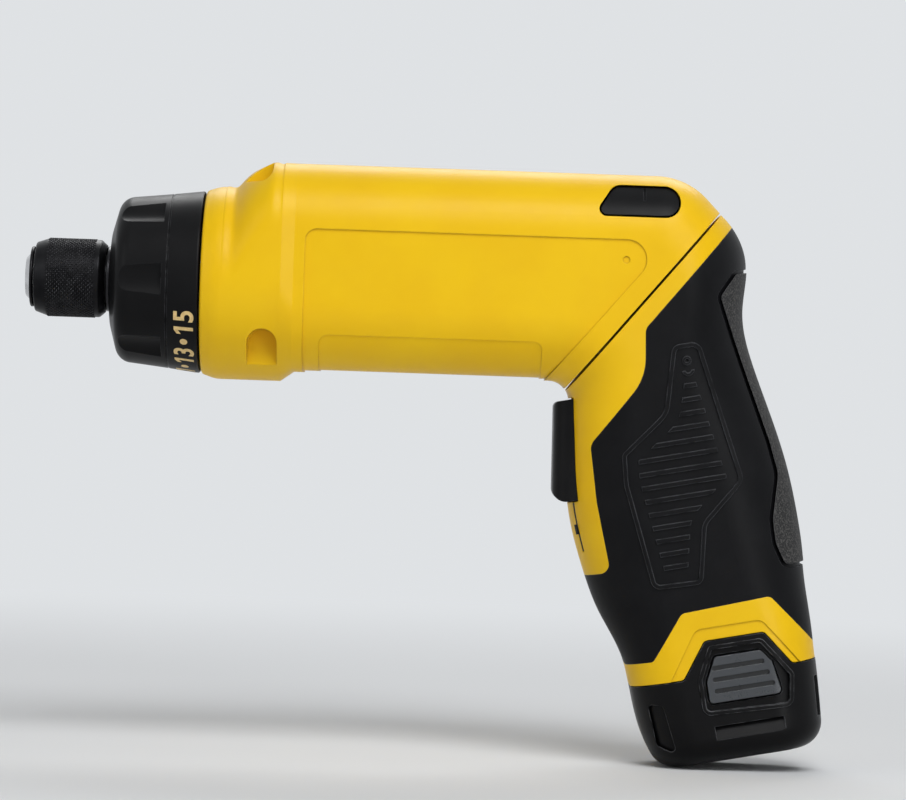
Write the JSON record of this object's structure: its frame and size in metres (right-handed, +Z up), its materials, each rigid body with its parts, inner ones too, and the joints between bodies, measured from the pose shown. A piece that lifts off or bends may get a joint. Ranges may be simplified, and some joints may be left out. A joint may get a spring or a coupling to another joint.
{
  "type": "electric screwdriver",
  "caption": "Pivot-handle cordless electric screwdriver with hex quick-change chuck, numbered clutch collar, soft grip, trigger and slide-out battery pack.",
  "frame": {"origin": "on the spindle axis at the mouth of the bit socket", "axes": "X runs rearwards from the chuck along the spindle axis, Z is up, and Y is across the tool; the pictured side faces -Y"},
  "size_m": [0.2058, 0.049, 0.1493],
  "materials": {
    "yellow_plastic": "satin moulded",
    "black_plastic": "satin moulded",
    "soft_grip": "matt soft skin",
    "grey_pad": "grained",
    "grey_plastic": "satin moulded",
    "steel": "turned",
    "dark_steel": "blackened",
    "spring_steel": "drawn wire",
    "pale_nylon": "moulded",
    "bronze": "sintered",
    "copper": "enamelled wire",
    "magnet": "ferrite",
    "tinned": "tinned",
    "cell_wrap": "shrink film",
    "board_green": "solder mask",
    "lead_red": "extruded"
  },
  "bodies": {
    "barrel": {"barrel_left_shell": "yellow_plastic", "barrel_right_shell": "yellow_plastic", "barrel_screws": "dark_steel", "gear_case": "grey_plastic", "ring_gear": "pale_nylon", "spindle_bush": "bronze", "collar_clip": "spring_steel", "clutch_spring": "spring_steel", "clutch_washer": "steel", "clutch_balls": "steel", "motor_plate": "steel", "motor_can": "steel", "motor_magnets": "magnet", "motor_end_bell": "black_plastic", "motor_terminals": "tinned", "motor_leads": "lead_red", "release_spring": "spring_steel"},
    "clutch_collar": {"clutch_collar": "black_plastic"},
    "clutch_nut": {"clutch_nut": "pale_nylon"},
    "spindle": {"spindle": "steel", "output_pins": "steel", "lock_balls": "steel", "chuck_ring": "dark_steel", "sleeve_spring": "spring_steel"},
    "sleeve": {"chuck_sleeve": "dark_steel"},
    "first_carrier": {"first_carrier": "steel", "first_pins": "steel"},
    "rotor": {"motor_shaft": "steel", "pinion": "steel", "armature": "dark_steel", "windings": "copper"},
    "planet_1a": {"planet_1a": "pale_nylon"},
    "planet_1b": {"planet_1b": "pale_nylon"},
    "planet_1c": {"planet_1c": "pale_nylon"},
    "planet_2a": {"planet_2a": "steel"},
    "planet_2b": {"planet_2b": "steel"},
    "planet_2c": {"planet_2c": "steel"},
    "handle": {"swivel_hub": "black_plastic", "handle_left_shell": "yellow_plastic", "handle_right_shell": "yellow_plastic", "grip_left": "soft_grip", "grip_right": "soft_grip", "rear_grip_pad": "grey_pad", "handle_screws": "dark_steel", "trigger_switch": "black_plastic", "trigger_spring": "spring_steel", "control_board": "board_green", "board_parts": "black_plastic", "board_leads": "lead_red", "contact_block": "black_plastic", "contact_blades": "tinned"},
    "trigger": {"trigger": "black_plastic"},
    "release": {"release_button": "black_plastic"},
    "battery": {"battery_base": "black_plastic", "battery_tower": "black_plastic", "battery_cells": "cell_wrap", "cell_straps": "tinned", "battery_screws": "dark_steel"},
    "battery_button_left": {"battery_button_left": "grey_plastic"},
    "battery_button_right": {"battery_button_right": "grey_plastic"}
  },
  "joints": [
    {"name": "handle_swivel", "type": "hinge", "parent": "barrel", "child": "handle", "pos_m": [0.1571, 0, -0.001], "axis": [0.7716, 0, -0.6361], "range_deg": [0, 180]},
    {"name": "collar_turn", "type": "hinge", "parent": "barrel", "child": "clutch_collar", "pos_m": [0.03, 0, 0], "axis": [-1, 0, 0], "range_deg": [0, 240]},
    {"name": "clutch_nut_slide", "type": "slide", "parent": "clutch_collar", "child": "clutch_nut", "axis": [1, 0, 0], "range_m": [0, 0.0034], "deforming": ["clutch_spring"]},
    {"name": "spindle_spin", "type": "hinge", "parent": "barrel", "child": "spindle", "pos_m": [0.03, 0, 0], "axis": [1, 0, 0], "continuous": true},
    {"name": "sleeve_slide", "type": "slide", "parent": "spindle", "child": "sleeve", "axis": [-1, 0, 0], "range_m": [0, 0.003], "stiffness_N_per_m": 300, "springref_m": -0.003, "deforming": ["sleeve_spring"]},
    {"name": "first_carrier_spin", "type": "hinge", "parent": "barrel", "child": "first_carrier", "pos_m": [0.058, 0, 0], "axis": [1, 0, 0], "continuous": true},
    {"name": "motor_spin", "type": "hinge", "parent": "barrel", "child": "rotor", "pos_m": [0.087, 0, 0], "axis": [1, 0, 0], "continuous": true},
    {"name": "planet_2a_spin", "type": "hinge", "parent": "spindle", "child": "planet_2a", "pos_m": [0.05385, 0, 0.00675], "axis": [1, 0, 0], "continuous": true},
    {"name": "planet_2b_spin", "type": "hinge", "parent": "spindle", "child": "planet_2b", "pos_m": [0.05385, -0.00585, -0.00337], "axis": [1, 0, 0], "continuous": true},
    {"name": "planet_2c_spin", "type": "hinge", "parent": "spindle", "child": "planet_2c", "pos_m": [0.05385, 0.00585, -0.00337], "axis": [1, 0, 0], "continuous": true},
    {"name": "planet_1a_spin", "type": "hinge", "parent": "first_carrier", "child": "planet_1a", "pos_m": [0.06185, 0, 0.00675], "axis": [1, 0, 0], "continuous": true},
    {"name": "planet_1b_spin", "type": "hinge", "parent": "first_carrier", "child": "planet_1b", "pos_m": [0.06185, -0.00585, -0.00337], "axis": [1, 0, 0], "continuous": true},
    {"name": "planet_1c_spin", "type": "hinge", "parent": "first_carrier", "child": "planet_1c", "pos_m": [0.06185, 0.00585, -0.00337], "axis": [1, 0, 0], "continuous": true},
    {"name": "trigger_pull", "type": "slide", "parent": "handle", "child": "trigger", "axis": [0.9816, 0, 0.1908], "range_m": [0, 0.0035], "stiffness_N_per_m": 300, "springref_m": -0.004, "deforming": ["trigger_spring"]},
    {"name": "release_press", "type": "slide", "parent": "barrel", "child": "release", "axis": [0, 1, 0], "range_m": [0, 0.0024], "stiffness_N_per_m": 200, "springref_m": -0.003, "deforming": ["release_spring"]},
    {"name": "battery_slide", "type": "slide", "parent": "handle", "child": "battery", "axis": [0.1908, 0, -0.9816], "range_m": [0, 0.06]},
    {"name": "battery_button_left_press", "type": "slide", "parent": "battery", "child": "battery_button_left", "axis": [0, 1, 0], "range_m": [0, 0.0014], "stiffness_N_per_m": 200, "springref_m": -0.003},
    {"name": "battery_button_right_press", "type": "slide", "parent": "battery", "child": "battery_button_right", "axis": [0, -1, 0], "range_m": [0, 0.0014], "stiffness_N_per_m": 200, "springref_m": -0.003}
  ],
  "couplings": [
    {"joint": "clutch_nut_slide", "follows": "collar_turn", "m_per_rad": 0.00078782},
    {"joint": "first_carrier_spin", "follows": "spindle_spin", "ratio": 5},
    {"joint": "motor_spin", "follows": "spindle_spin", "ratio": 25},
    {"joint": "planet_2a_spin", "follows": "spindle_spin", "ratio": -2.6667},
    {"joint": "planet_2b_spin", "follows": "spindle_spin", "ratio": -2.6667},
    {"joint": "planet_2c_spin", "follows": "spindle_spin", "ratio": -2.6667},
    {"joint": "planet_1a_spin", "follows": "spindle_spin", "ratio": -13.333},
    {"joint": "planet_1b_spin", "follows": "spindle_spin", "ratio": -13.333},
    {"joint": "planet_1c_spin", "follows": "spindle_spin", "ratio": -13.333}
  ]
}
